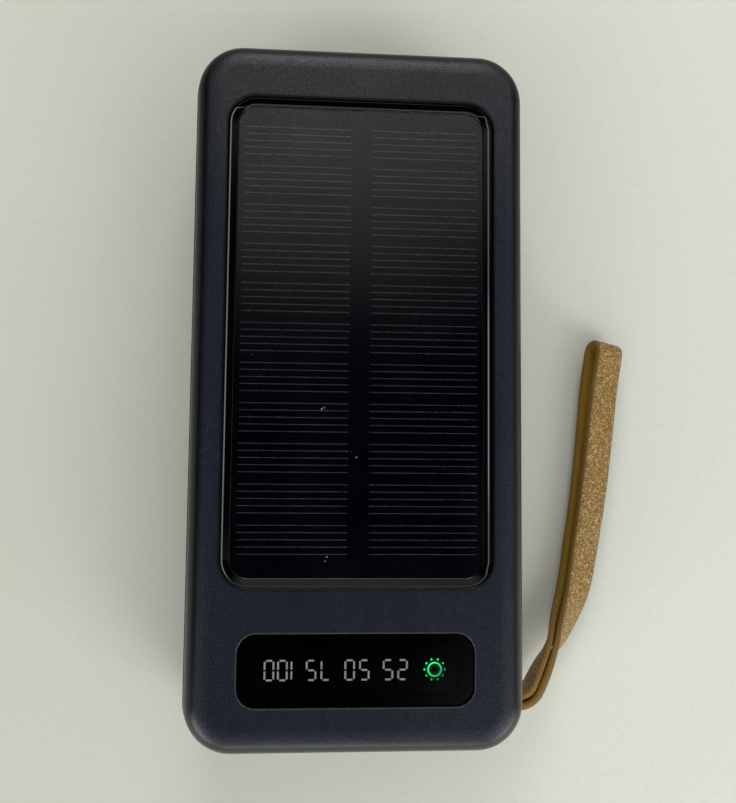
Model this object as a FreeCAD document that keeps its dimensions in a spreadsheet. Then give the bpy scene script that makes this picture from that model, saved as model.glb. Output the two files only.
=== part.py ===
import FreeCAD, Part
import math
import os
import re
import Sketcher
from FreeCAD import Placement, Rotation, Vector

# A pocket solar power bank lying on its back: X is its width, Y its length and +Z the way the
# solar panel faces. The origin is the centre of the underside. All sizes are millimetres.

SIZES = {
    # case
    "case_width": 69.0, "case_length": 145.0, "case_height": 28.0, "corner_radius": 10.0,
    "wall": 2.0, "floor": 2.0, "base_round": 3.0, "rim_round": 0.25,
    "parting_low": 21.85, "parting_high": 22.15, "cover_inset": 0.35, "cover_round": 5.5,
    "ceiling_low": 24.2, "tongue_low": 20.2, "tongue_inset": 2.3, "cavity_inset": 3.5, "lip_bevel": 0.1,
    # solar panel
    "panel_y": 10.4, "panel_width": 50.5, "panel_length": 95.5, "panel_corner": 3.7,
    "bezel_border": 1.9, "bezel_low": 25.6, "bezel_high": 27.6, "bezel_slope": 1.5, "bezel_drop": 0.38,
    "bezel_outer_round": 0.24, "bezel_inner_round": 0.15, "fit_gap": 0.1,
    "tape_thick": 0.3, "backsheet_thick": 0.8, "cell_thick": 0.2, "laminate_low": 26.93,
    "laminate_thick": 0.25, "cell_width": 22.2, "cell_height": 7.5, "cell_pitch": 8.1, "string_pitch": 26.2,
    "cells_shift": 0.25, "slot_corner": 1.0,
    "wire_slot_y": -36.3, "wire_slot_width": 12.0, "wire_slot_length": 2.4,
    # display
    "display_y": -55.1, "window_width": 46.8, "window_length": 14.2, "window_corner": 3.8,
    "window_low": 26.6, "lens_thick": 1.0, "lens_bevel": 0.25, "housing_width": 42.4,
    "housing_length": 10.0, "housing_corner": 1.5, "housing_low": 23.6, "housing_high": 26.5,
    "light_depth": 0.5, "skin_thick": 0.15, "chamber_wall": 0.8, "chamber_corner": 0.5, "level_pitch": 7.6,
    "signs_y": -55.3, "signs_shift": 0.15, "digit_pitch": 2.9, "close_pitch": 2.62, "digit_width": 1.72,
    "digit_height": 3.75, "stroke": 0.36, "bar_length": 1.15, "hundred_shift": 0.53, "sun_shift": 0.4,
    "sun_ring": 1.44, "sun_stroke": 0.29, "sun_ray_circle": 2.05, "sun_ray": 0.18,
    "display_board_thick": 1.0, "display_board_lap": 0.8, "led_size": 1.6, "led_thick": 0.7,
    "display_pin_side": 0.5, "display_pin_pitch": 2.0, "display_pin_offset": 4.4,
    # battery
    "battery_y": 13.0, "battery_width": 52.0, "battery_length": 96.0, "battery_thick": 9.4,
    "battery_corner": 2.0, "battery_round": 1.5, "foam_inset": 3.0, "foam_thick": 0.6, "battery_tape": 0.4,
    "tab_width": 5.0, "tab_length": 1.2, "tab_thick": 0.2, "tab_pitch": 24.0,
    # main board
    "board_low": 9.0, "board_thick": 1.6, "board_left": 30.3, "board_right": 30.3, "board_front": 70.2,
    "board_back": 38.2, "board_corner": 7.5, "board_notch_x": 22.4, "board_notch_y": 52.0,
    "board_notch_side": 20.0, "post_port_x": 27.5, "post_port_y": 65.6, "post_inner_x": 27.0,
    "post_inner_y": 42.0, "inductor_side": 7.0, "inductor_high": 4.0, "inductor_bevel": 0.8,
    "chip_side": 5.0, "chip_high": 1.2, "capacitor_radius": 2.5, "capacitor_high": 5.4,
    "resistor_length": 1.6, "resistor_high": 0.6, "resistor_pitch": 2.6, "resistor_y": -41.8,
    # sockets in the end wall
    "socket_front": 72.2, "socket_gap": 0.2, "mouth_bevel": 0.2, "sleeve_thick": 0.3, "sleeve_corner": 0.6,
    "sleeve_back": 1.0, "tongue_share": 0.28, "tongue_gap": 0.9,
    "usb_wide": 13.2, "usb_high": 5.8, "usb_deep": 14.0, "usb_left_x": -18.6, "usb_right_x": 15.8,
    "micro_wide": 8.0, "micro_high": 2.9, "micro_deep": 5.8, "micro_x": -6.6,
    "oval_wide": 9.0, "oval_high": 3.3, "oval_deep": 7.4, "oval_x": 3.3,
    # power button in the long wall
    "button_y": -52.0, "button_z": 13.0, "button_length": 8.8, "button_high": 3.8, "button_gap": 0.25,
    "button_face": 34.45, "button_round": 0.3, "flange_out": 32.4, "flange_in": 31.5, "flange_lap": 0.9,
    "nub_in": 30.95, "nub_lap": -1.2, "nub_corner": 0.5, "switch_out": 29.9, "switch_in": 26.4,
    "switch_length": 6.0, "switch_high": 3.6, "plunger_length": 3.0, "plunger_high": 1.2, "plunger_in": 28.6,
    "plunger_gap": 0.2, "plunger_play": 0.05, "well_overcut": 0.7,
    # fixings
    "boss_x": 29.2, "boss_far_y": 60.0, "boss_near_y": -31.0, "boss_split": 10.4, "boss_diameter": 5.4,
    "screw_shank": 2.2, "screw_head": 4.4, "screw_head_low": 2.3, "screw_head_high": 4.0, "screw_tip": 16.0,
    "counterbore": 5.0, "screw_gap": 0.2, "slot_long": 2.4, "slot_wide": 0.5, "slot_deep": 0.8,
    "post_diameter": 5.0, "board_screw_shank": 1.8, "board_screw_head": 3.6, "board_screw_thick": 1.3,
    "board_screw_tip": 4.0,
    # wrist strap and its pin
    "pin_x": 29.3, "pin_y": -66.8, "pin_radius": 0.9, "pin_low": 1.4, "pin_high": 13.2,
    "recess_radius": 4.8, "recess_reach": 10.0, "recess_low": 3.0, "recess_high": 11.8,
    "block_high": 13.8, "block_wall": 1.6, "board_bay_length": 30.0, "port_bay_width": 16.0,
    "port_bay_length": 12.0,
    "strap_width": 7.0, "strap_thick": 0.9, "strap_eye": 1.6, "strap_centre_z": 7.4, "strap_tilt": 2.55,
    # wires
    "wire_radius": 0.6, "wire_bend": 1.6, "wire_x": 3.0, "wire_run": 4.8,
    # how far pieces of one body run into each other, and how far a cutting shape runs past what it cuts
    "overlap": 0.5, "overshoot": 1.0,
}
CELL_ROWS = 11

# Centre line of the doubled strap from the pin outwards, lying beside the case.
STRAP_ROUTE = [(29.3, -66.8), (42.0, -68.0), (46.3, -55.5), (52.1, -42.0), (55.2, -23.5), (57.6, -4.9),
               (58.5, 5.5), (58.8, 11.7)]

# Numbers of the charge levels, drawn as seen from the far end, so the case's own reading is upside down.
# Bars of a digit: top, upper left, upper right, middle, lower left, lower right, foot.
BARS = {"0": "1110111", "1": "0010010", "2": "1011101", "5": "1101011", "7": "1010010"}
# The 100 is set closer and moved a little, because its 1 leaves half of its own place empty.
LEVELS = [("100", "close_pitch", "hundred_shift"), ("75", "digit_pitch", "0"), ("50", "digit_pitch", "0"),
          ("25", "digit_pitch", "0")]

doc = FreeCAD.newDocument("solar_power_bank")
sheet = doc.addObject("Spreadsheet::Sheet", "sizes")
for row, (word, number) in enumerate(SIZES.items(), start=1):
    sheet.set(f"A{row}", word)
    sheet.set(f"B{row}", str(number))
    sheet.setAlias(f"B{row}", word)
doc.recompute()

finished = []


def linked(text):
    """The text of an expression with each named size pointed at the sheet."""
    return re.sub(r"[a-z_]+", lambda found: f"sizes.{found[0]}" if found[0] in SIZES else found[0], str(text))


def value(text):
    """The number that an expression of named sizes has now."""
    result = sheet.evalExpression(linked(text))
    return float(getattr(result, "Value", result))


def bind(thing, **properties):
    """Binds properties to expressions; a double underscore stands for a dot."""
    for name, text in properties.items():
        thing.setExpression(name.replace("__", "."), linked(text))


def keep(thing, label):
    """Names a sub-part and puts it on the list of pieces to write."""
    thing.Label = label
    finished.append(thing)
    return thing


# ---------------------------------------------------------------- PartDesign helpers

def new_body(label):
    body = doc.addObject("PartDesign::Body", label)
    return keep(body, label)


def new_sketch(body, name, plane="XY_Plane", x="0", y="0", offset="0"):
    """A sketch on one of the body's own origin planes, shifted by x and y in it and by offset off it."""
    sketch = body.newObject("Sketcher::SketchObject", name)
    origin_plane = [feature for feature in body.Origin.OriginFeatures if feature.Role == plane][0]
    sketch.AttachmentSupport = [(origin_plane, "")]
    sketch.MapMode = "FlatFace"
    bind(sketch, AttachmentOffset__Base__x=x, AttachmentOffset__Base__y=y, AttachmentOffset__Base__z=offset)
    return sketch


def draw_rectangle(sketch, width, length, radius, name=""):
    """A rounded rectangle about the sketch's origin, held by named dimensions."""
    half_w, half_l, r = value(width) / 2, value(length) / 2, value(radius)
    right, top = half_w - r, half_l - r
    up = Vector(0, 0, 1)

    def line(x1, y1, x2, y2):
        return Part.LineSegment(Vector(x1, y1, 0), Vector(x2, y2, 0))

    def corner(x, y, quarter):
        circle = Part.Circle(Vector(x, y, 0), up, r)
        return Part.ArcOfCircle(circle, quarter * math.pi / 2, (quarter + 1) * math.pi / 2)

    sides = [line(-right, -half_l, right, -half_l), corner(right, -top, -1),
             line(half_w, -top, half_w, top), corner(right, top, 0),
             line(right, half_l, -right, half_l), corner(-right, top, 1),
             line(-half_w, top, -half_w, -top), corner(-right, -top, 2)]
    first = sketch.GeometryCount
    sketch.addGeometry(sides, False)
    bottom, right_side, top_side, left_side = first, first + 2, first + 4, first + 6
    arcs = [first + 1, first + 3, first + 5, first + 7]
    rules = [Sketcher.Constraint("Tangent", first + i, 2, first + (i + 1) % 8, 1) for i in range(8)]
    rules += [Sketcher.Constraint("Horizontal", side) for side in (bottom, top_side)]
    rules += [Sketcher.Constraint("Vertical", side) for side in (right_side, left_side)]
    rules += [Sketcher.Constraint("Equal", arcs[0], arc) for arc in arcs[1:]]
    rules.append(Sketcher.Constraint("Symmetric", left_side, 1, right_side, 1, -1, 1))
    sketch.addConstraint(rules)
    add_dimension(sketch, name + "width", width, "DistanceX", left_side, 1, right_side, 1)
    add_dimension(sketch, name + "length", length, "DistanceY", bottom, 1, top_side, 1)
    add_dimension(sketch, name + "radius", radius, "Radius", arcs[0])


def add_dimension(sketch, name, text, kind, *places):
    index = sketch.addConstraint(Sketcher.Constraint(kind, *places, value(text)))
    sketch.renameConstraint(index, name)
    sketch.setExpression(f"Constraints.{name}", linked(text))


def draw_circle(sketch, diameter):
    sketch.addGeometry(Part.Circle(Vector(0, 0, 0), Vector(0, 0, 1), value(diameter) / 2), False)
    sketch.addConstraint(Sketcher.Constraint("Coincident", 0, 3, -1, 1))
    add_dimension(sketch, "diameter", diameter, "Diameter", 0)


def pad(body, sketch, length):
    feature = body.newObject("PartDesign::Pad", sketch.Name + "_pad")
    feature.Profile = sketch
    bind(feature, Length=length)
    doc.recompute()
    return feature


def pocket(body, sketch, length, along_normal=True):
    """Cuts a profile away and makes sure that material really went."""
    before = body.Shape.Volume
    feature = body.newObject("PartDesign::Pocket", sketch.Name + "_pocket")
    feature.Profile = sketch
    feature.Reversed = along_normal
    bind(feature, Length=length)
    doc.recompute()
    if body.Shape.Volume > before - 1e-3:
        raise RuntimeError(f"{sketch.Name} cuts nothing")
    return feature


def pad_plate(body, name, low, high, width, length, radius, x="0", y="0"):
    sketch = new_sketch(body, name, x=x, y=y, offset=low)
    draw_rectangle(sketch, width, length, radius)
    return pad(body, sketch, f"({high}) - ({low})")


def cut_plate(body, name, low, high, width, length, radius, x="0", y="0"):
    sketch = new_sketch(body, name, x=x, y=y, offset=low)
    draw_rectangle(sketch, width, length, radius)
    return pocket(body, sketch, f"({high}) - ({low})")


def pad_post(body, name, low, high, diameter, x, y):
    sketch = new_sketch(body, name, x=x, y=y, offset=low)
    draw_circle(sketch, diameter)
    return pad(body, sketch, f"({high}) - ({low})")


def cut_hole(body, name, low, high, diameter, x, y):
    sketch = new_sketch(body, name, x=x, y=y, offset=low)
    draw_circle(sketch, diameter)
    return pocket(body, sketch, f"({high}) - ({low})")


def edges_at(feature, height, inside=None):
    """Names of the edges that lie flat at a height, kept to a box of half sizes about a centre."""
    names = []
    for number, edge in enumerate(feature.Shape.Edges, start=1):
        box = edge.BoundBox
        if abs(box.ZMin - height) > 1e-4 or abs(box.ZMax - height) > 1e-4:
            continue
        if inside is None or (abs(box.Center.x - inside[0]) < inside[2]
                              and abs(box.Center.y - inside[1]) < inside[3]):
            names.append(f"Edge{number}")
    return names


def dress(body, kind, base, edges, size, property_name):
    """A fillet or a chamfer on some edges of the feature before it."""
    feature = body.newObject("PartDesign::" + kind, body.Name + "_" + kind.lower())
    feature.Base = (base, edges)
    bind(feature, **{property_name: size})
    doc.recompute()
    return feature


# ---------------------------------------------------------------- Part helpers

def place(thing, x, y, z):
    bind(thing, Placement__Base__x=x, Placement__Base__y=y, Placement__Base__z=z)
    return thing


def block(name, size, centre, low):
    """A box given by its size, the centre of its foot in X and Y, and its lowest height."""
    box = doc.addObject("Part::Box", name)
    bind(box, Length=size[0], Width=size[1], Height=size[2])
    return place(box, f"({centre[0]}) - ({size[0]}) / 2", f"({centre[1]}) - ({size[1]}) / 2", low)


def post(name, radius, height, centre, low):
    cylinder = doc.addObject("Part::Cylinder", name)
    bind(cylinder, Radius=radius, Height=height)
    return place(cylinder, centre[0], centre[1], low)


def group(label, members):
    """Separate solids that share one node."""
    compound = doc.addObject("Part::Compound", label)
    compound.Links = members
    return keep(compound, label)


def cut(name, base, tool):
    result = doc.addObject("Part::Cut", name)
    result.Base = base
    result.Tool = tool
    return result


def fuse(name, members):
    result = doc.addObject("Part::MultiFuse", name)
    result.Shapes = members
    return result


# ---------------------------------------------------------------- places used more than once

BOSSES = [(f"{side}boss_x", y) for y in ("boss_far_y", "boss_near_y") for side in ("-", "")]
POSTS = [("-post_port_x", "-post_port_y"), ("-post_inner_x", "-post_inner_y"),
         ("post_inner_x", "-post_inner_y")]
SOCKETS = [("left_usb_port", "usb_left_x", "usb"), ("micro_charge_port", "micro_x", "micro"),
           ("oval_charge_port", "oval_x", "oval"), ("right_usb_port", "usb_right_x", "usb")]
BOARD_TOP = "board_low + board_thick"
# Middles of the main board's larger pieces, as X and Y.
INDUCTOR_PLACE = ("-10", "-47.5")
CHIP_PLACES = {"charge_controller_chip": ("8", "-46"), "processor_chip": ("-19", "-46")}
CAPACITOR_PLACES = [("-20", "-53"), ("16", "-53"), ("16", "-46")]


# ---------------------------------------------------------------- case

def make_rear_shell():
    """The deep tray: ports in its end wall, button in its long wall, strap recess in one corner."""
    body = new_body("rear_shell")
    solid = pad_plate(body, "tray_outline", "0", "parting_low", "case_width", "case_length", "corner_radius")
    base = dress(body, "Fillet", solid, edges_at(solid, 0), "base_round", "Radius")
    dress(body, "Fillet", base, edges_at(base, value("parting_low")), "rim_round", "Radius")
    inner_width, inner_length = "case_width - 2 * wall", "case_length - 2 * wall"
    inner_corner = "corner_radius - wall"
    cut_plate(body, "upper_bay", "block_high", "parting_low + overshoot", inner_width, inner_length,
              inner_corner)

    # Below the strap block's top the bay stops short of the corner that holds the pin.
    block_left = "(pin_x - recess_radius - block_wall)"
    block_back = "(pin_y + recess_radius + block_wall)"
    inner_end = "(case_length / 2 - wall)"
    inner_side = "(case_width / 2 - wall)"
    cut_plate(body, "battery_bay", "floor", "block_high + overshoot", inner_width,
              f"{inner_end} - {block_back}", inner_corner, y=f"({inner_end} + {block_back}) / 2")
    cut_plate(body, "board_bay", "floor", "block_high + overshoot", f"{inner_side} + {block_left}",
              "board_bay_length", inner_corner, x=f"({block_left} - {inner_side}) / 2",
              y=f"board_bay_length / 2 - {inner_end}")
    cut_plate(body, "port_bay", "floor", "block_high + overshoot", "port_bay_width", "port_bay_length",
              "slot_corner", x=f"{block_left} - port_bay_width / 2", y=f"port_bay_length / 2 - {inner_end}")

    for number, (x, y) in enumerate(BOSSES):
        pad_post(body, f"case_boss_{number}", "floor - overlap", "boss_split", "boss_diameter", x, y)
        cut_hole(body, f"counterbore_{number}", "-overshoot", "screw_head_high", "counterbore", x, y)
        cut_hole(body, f"screw_hole_{number}", "floor / 2", "boss_split + overshoot",
                 "screw_shank + 2 * screw_gap", x, y)
    for number, (x, y) in enumerate(POSTS):
        pad_post(body, f"board_post_{number}", "floor - overlap", "board_low", "post_diameter", x, y)
        cut_hole(body, f"post_hole_{number}", "board_screw_tip - screw_gap", "board_low + overshoot",
                 "board_screw_shank + fit_gap", x, y)

    for name, x, kind in SOCKETS:
        sketch = new_sketch(body, name + "_opening", "XZ_Plane", x=x, y=f"{BOARD_TOP} + {kind}_high / 2",
                            offset="case_length / 2 + overshoot")
        draw_rectangle(sketch, f"{kind}_wide + 2 * socket_gap", f"{kind}_high + 2 * socket_gap",
                       f"{kind}_high / 2" if kind == "oval" else "socket_gap * 2")
        pocket(body, sketch, "wall + overshoot + overlap", along_normal=False)

    button_hole = new_sketch(body, "button_opening", "YZ_Plane", x="button_y", y="button_z",
                             offset="-case_width / 2 - overshoot")
    draw_rectangle(button_hole, "button_length + 2 * button_gap", "button_high + 2 * button_gap",
                   "button_high / 2")
    last = pocket(body, button_hole, "wall + overshoot + overlap")
    mouths = [f"Edge{number}" for number, edge in enumerate(last.Shape.Edges, start=1) if on_mouth(edge)]
    dress(body, "Chamfer", last, mouths, "mouth_bevel", "Size")

    # The recess is round about the pin and open to the side and to the end of the case.
    cut_hole(body, "recess_round", "recess_low", "recess_high", "2 * recess_radius", "pin_x", "pin_y")
    cut_plate(body, "recess_side", "recess_low", "recess_high", "recess_reach", "2 * recess_radius",
              "overlap", x="pin_x + recess_reach / 2", y="pin_y")
    cut_plate(body, "recess_end", "recess_low", "recess_high", "2 * recess_radius", "recess_reach",
              "overlap", x="pin_x", y="pin_y - recess_reach / 2")
    cut_hole(body, "pin_hole", "pin_low", "pin_high", "2 * pin_radius", "pin_x", "pin_y")


def on_mouth(edge):
    """True for an edge round a socket's or the button's opening, on the outside of its wall."""
    box = edge.BoundBox
    straight_end = value("case_width / 2 - corner_radius")
    on_end = box.YMax < -value("case_length / 2") + 1e-4 and abs(box.Center.x) < straight_end
    near_button = abs(box.Center.y - value("button_y")) < value("button_length")
    on_side = box.XMax < -value("case_width / 2") + 1e-4 and near_button
    above_base = box.Center.z > value("base_round + overshoot")
    below_rim = box.Center.z < value("parting_low - wall - overshoot")
    return (on_end or on_side) and above_base and below_rim


def make_front_cover():
    """The shallow lid with the recesses for the panel and the display window."""
    body = new_body("front_cover")
    solid = pad_plate(body, "lid_outline", "parting_high", "case_height", "case_width - 2 * cover_inset",
                      "case_length - 2 * cover_inset", "corner_radius - cover_inset")
    dress(body, "Fillet", solid, edges_at(solid, value("case_height")), "cover_round", "Radius")
    pad_plate(body, "tongue", "tongue_low", "parting_high + overlap", "case_width - 2 * tongue_inset",
              "case_length - 2 * tongue_inset", "corner_radius - tongue_inset")
    cut_plate(body, "lid_cavity", "tongue_low - overshoot", "ceiling_low", "case_width - 2 * cavity_inset",
              "case_length - 2 * cavity_inset", "corner_radius - cavity_inset")
    for number, (x, y) in enumerate(BOSSES):
        pad_post(body, f"lid_boss_{number}", "boss_split", "ceiling_low + overlap", "boss_diameter", x, y)
        cut_hole(body, f"lid_boss_hole_{number}", "boss_split - overshoot", "screw_tip + overlap",
                 "screw_shank", x, y)
    cut_plate(body, "panel_recess", "bezel_low", "case_height + overshoot", "panel_width + 2 * bezel_border",
              "panel_length + 2 * bezel_border", "panel_corner + bezel_border", y="panel_y")
    cut_plate(body, "wire_slot", "ceiling_low - overshoot", "bezel_low + overlap", "wire_slot_width",
              "wire_slot_length", "slot_corner", y="wire_slot_y")
    cut_plate(body, "window_recess", "window_low", "case_height + overshoot", "window_width", "window_length",
              "window_corner", y="display_y")
    last = cut_plate(body, "window_opening", "ceiling_low - overshoot", "window_low + overlap",
                     "housing_width + 2 * fit_gap", "housing_length + 2 * fit_gap", "housing_corner",
                     y="display_y")
    within = (0, 0, value("panel_width / 2 + bezel_border + overlap"), value("case_length / 2 - cover_round"))
    lips = edges_at(last, value("case_height"), within)
    dress(body, "Chamfer", last, lips, "lip_bevel", "Size")


def make_case_screws():
    screws = []
    for number, (x, y) in enumerate(BOSSES):
        head = post(f"case_screw_head_{number}", "screw_head / 2", "screw_head_high - screw_head_low",
                    (x, y), "screw_head_low")
        shank = post(f"case_screw_shank_{number}", "screw_shank / 2", "screw_tip - screw_head_high + overlap",
                     (x, y), "screw_head_high - overlap")
        slot = cross_slot(f"case_screw_{number}", x, y, "screw_head_low - overshoot")
        screws.append(cut(f"case_screw_{number}", fuse(f"case_screw_blank_{number}", [head, shank]), slot))
    group("case_screws", screws)


def cross_slot(name, x, y, low):
    """The tool for a cross recess in a screw head: its depth and its overshoot outside the head."""
    arms = [block(f"{name}_slot_x", ("slot_long", "slot_wide", "slot_deep + overshoot"), (x, y), low),
            block(f"{name}_slot_y", ("slot_wide", "slot_long", "slot_deep + overshoot"), (x, y), low)]
    return fuse(f"{name}_slot", arms)


# ---------------------------------------------------------------- solar panel

def make_panel():
    """The panel's border, tape, board, cells and clear laminate, stacked in the cover's recess."""
    bezel = new_body("panel_bezel")
    ring = pad_plate(bezel, "bezel_outline", "bezel_low", "bezel_high",
                     "panel_width + 2 * bezel_border - 2 * fit_gap",
                     "panel_length + 2 * bezel_border - 2 * fit_gap", "panel_corner + bezel_border - fit_gap",
                     y="panel_y")
    ring = cut_plate(bezel, "bezel_opening", "bezel_low - overshoot", "bezel_high + overshoot", "panel_width",
                     "panel_length", "panel_corner", y="panel_y")
    # Its top slopes down to the panel; one straight edge stands for the whole chain round the opening.
    inner_side = (value("panel_width / 2"), value("panel_y"), value("fit_gap / 2"), value("overshoot"))
    outer_side = (value("panel_width / 2 + bezel_border - fit_gap"), *inner_side[1:])
    slope = dress(bezel, "Chamfer", ring, edges_at(ring, value("bezel_high"), inner_side), "bezel_slope",
                  "Size")
    slope.ChamferType = "Two distances"
    bind(slope, Size2="bezel_drop")
    doc.recompute()
    last = dress(bezel, "Fillet", slope, edges_at(slope, value("bezel_high - bezel_drop"), inner_side),
                 "bezel_inner_round", "Radius")
    dress(bezel, "Fillet", last, edges_at(last, value("bezel_high"), outer_side), "bezel_outer_round",
          "Radius")

    inset_width, inset_length = "panel_width - 2 * fit_gap", "panel_length - 2 * fit_gap"
    tape = new_body("panel_tape")
    pad_plate(tape, "tape_outline", "bezel_low", "bezel_low + tape_thick", inset_width, inset_length,
              "panel_corner", y="panel_y")
    cut_plate(tape, "tape_wire_slot", "bezel_low - overshoot", "bezel_low + overshoot", "wire_slot_width",
              "wire_slot_length", "slot_corner", y="wire_slot_y")
    board = new_body("panel_backsheet")
    board_low = "bezel_low + tape_thick"
    pad_plate(board, "backsheet_outline", board_low, f"{board_low} + backsheet_thick", inset_width,
              inset_length, "panel_corner", y="panel_y")
    laminate = new_body("panel_laminate")
    pad_plate(laminate, "laminate_outline", "laminate_low", "laminate_low + laminate_thick", inset_width,
              inset_length, "panel_corner", y="panel_y")

    cells = []
    for column in (-1, 1):
        for number in range(CELL_ROWS):
            step = number - (CELL_ROWS - 1) / 2
            centre = (f"{column} * string_pitch / 2", f"panel_y + cells_shift + ({step}) * cell_pitch")
            cells.append(block(f"cell_{'left' if column < 0 else 'right'}_{number}",
                               ("cell_width", "cell_height", "cell_thick"), centre,
                               f"{board_low} + backsheet_thick"))
    group("solar_cells", cells)


# ---------------------------------------------------------------- display

def make_digit_bars(digit, x, name):
    """The lit bars of one digit, turned half round about its own centre."""
    half_wide, half_high = "digit_width / 2", "digit_height / 2"
    across, upright = ("bar_length", "stroke"), ("stroke", "digit_height / 2 - stroke")
    layout = [("0", half_high, across), (f"-{half_wide}", "digit_height / 4", upright),
              (half_wide, "digit_height / 4", upright), ("0", "0", across),
              (f"-{half_wide}", "-digit_height / 4", upright), (half_wide, "-digit_height / 4", upright),
              ("0", f"-{half_high}", across)]
    bars = []
    for number, (lit, (dx, dy, (wide, high))) in enumerate(zip(BARS[digit], layout)):
        if lit == "1":
            bars.append(block(f"{name}_bar_{number}", (wide, high, "light_depth"),
                              (f"{x} - ({dx})", f"signs_y - ({dy})"), "housing_high - light_depth"))
    return bars


def make_display():
    """Lens, lit numbers and sun sign set in a black housing, lamps and the board under them."""
    lens = new_body("display_lens")
    blank = pad_plate(lens, "lens_outline", "window_low", "window_low + lens_thick",
                      "window_width - 2 * fit_gap", "window_length - 2 * fit_gap", "window_corner - fit_gap",
                      y="display_y")
    dress(lens, "Chamfer", blank, edges_at(blank, value("window_low + lens_thick")), "lens_bevel", "Size")

    bars = []
    for place_number, (level, pitch, shift) in enumerate(LEVELS):
        centre = f"({place_number} - 2) * level_pitch + signs_shift + {shift}"
        for spot, digit in enumerate(reversed(level)):
            x = f"{centre} + ({spot - (len(level) - 1) / 2}) * {pitch}"
            bars += make_digit_bars(digit, x, f"level_{level}_{spot}")
    numbers = group("level_numbers", bars)

    sun_x, light_low = "2 * level_pitch + sun_shift", "housing_high - light_depth"
    rays = []
    for number in range(10):
        angle = 36 * number
        rays.append(post(f"sun_ray_{number}", "sun_ray", "light_depth",
                         (f"{sun_x} + sun_ray_circle * cos({angle} deg)",
                          f"signs_y + sun_ray_circle * sin({angle} deg)"), light_low))
    ring = cut("sun_ring", post("sun_disc", "sun_ring", "light_depth", (sun_x, "signs_y"), light_low),
               post("sun_centre", "sun_ring - sun_stroke", "light_depth", (sun_x, "signs_y"), light_low))
    sun = group("sun_sign", rays + [ring])

    blank = doc.addObject("PartDesign::Body", "housing_blank")
    pad_plate(blank, "housing_outline", "housing_low", "housing_high", "housing_width", "housing_length",
              "housing_corner", y="display_y")
    for number in range(5):
        cut_plate(blank, f"light_chamber_{number}", "housing_low - overshoot", f"{light_low} - skin_thick",
                  "level_pitch - chamber_wall", "housing_length - 2 * overshoot", "chamber_corner",
                  x=f"({number} - 2) * level_pitch", y="display_y")
    lit = fuse("lit_signs", [numbers, sun])
    keep(cut("display_housing", blank, lit), "display_housing")

    lamps = [block(f"display_lamp_{number}", ("led_size", "led_size / 2", "led_thick"),
                   (f"({number} - 2) * level_pitch", "display_y"), "housing_low") for number in range(5)]
    group("display_lamps", lamps)
    board = new_body("display_board")
    pad_plate(board, "display_board_outline", "housing_low - display_board_thick", "housing_low",
              "housing_width + 2 * display_board_lap", "housing_length + 2 * display_board_lap",
              "chamber_corner", y="display_y")
    pin_size = ("display_pin_side", "display_pin_side", f"housing_low - display_board_thick - ({BOARD_TOP})")
    pins = [block(f"display_pin_{number}", pin_size,
                  (f"({number - 2.5}) * display_pin_pitch", "display_y + display_pin_offset"), BOARD_TOP)
            for number in range(6)]
    group("display_pins", pins)


# ---------------------------------------------------------------- battery

def make_battery():
    """Two pouch cells with foam under them, tape between them and foam over them."""
    low_cell = "floor + foam_thick"
    high_cell = f"{low_cell} + battery_thick + battery_tape"
    for label, low in (("lower_battery_cell", low_cell), ("upper_battery_cell", high_cell)):
        cell = new_body(label)
        solid = pad_plate(cell, label + "_outline", low, f"{low} + battery_thick", "battery_width",
                          "battery_length", "battery_corner", y="battery_y")
        rims = edges_at(solid, value(low)) + edges_at(solid, value(f"{low} + battery_thick"))
        dress(cell, "Fillet", solid, rims, "battery_round", "Radius")
    pads = [("lower_foam_pad", "floor", "foam_thick"),
            ("battery_tape_sheet", f"{low_cell} + battery_thick", "battery_tape"),
            ("upper_foam_pad", f"{high_cell} + battery_thick",
             f"ceiling_low - ({high_cell}) - battery_thick")]
    for label, low, thick in pads:
        size = ("battery_width - 2 * foam_inset", "battery_length - 2 * foam_inset", thick)
        keep(block(label, size, ("0", "battery_y"), low), label)
    tabs = []
    for level, low in (("low", low_cell), ("high", high_cell)):
        for side in (-1, 1):
            tabs.append(block(f"tab_{level}_{'left' if side < 0 else 'right'}",
                              ("tab_width", "tab_length", "tab_thick"),
                              (f"{side} * tab_pitch / 2", "battery_y - battery_length / 2 - tab_length / 2"),
                              f"{low} + battery_thick / 2"))
    group("battery_tabs", tabs)


# ---------------------------------------------------------------- main board

def make_main_board():
    """The board under the display, notched round the strap block."""
    board = new_body("main_board")
    wide, deep = "board_left + board_right", "board_front - board_back"
    pad_plate(board, "board_outline", "board_low", BOARD_TOP, wide, deep, "board_corner",
              y="-(board_front + board_back) / 2")
    cut_plate(board, "board_notch", "board_low - overshoot", f"{BOARD_TOP} + overshoot", "board_notch_side",
              "board_notch_side", "slot_corner", x="board_notch_x + board_notch_side / 2",
              y="-board_notch_y - board_notch_side / 2")
    for number, (x, y) in enumerate(POSTS):
        cut_hole(board, f"board_hole_{number}", "board_low - overshoot", f"{BOARD_TOP} + overshoot",
                 "board_screw_shank + 2 * screw_gap", x, y)

    screws = []
    for number, (x, y) in enumerate(POSTS):
        head = post(f"board_screw_head_{number}", "board_screw_head / 2", "board_screw_thick", (x, y),
                    BOARD_TOP)
        shank = post(f"board_screw_shank_{number}", "board_screw_shank / 2",
                     f"{BOARD_TOP} - board_screw_tip + overlap", (x, y), "board_screw_tip")
        slot = cross_slot(f"board_screw_{number}", x, y, f"{BOARD_TOP} + board_screw_thick - slot_deep")
        screws.append(cut(f"board_screw_{number}", fuse(f"board_screw_blank_{number}", [head, shank]), slot))
    group("board_screws", screws)


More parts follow.
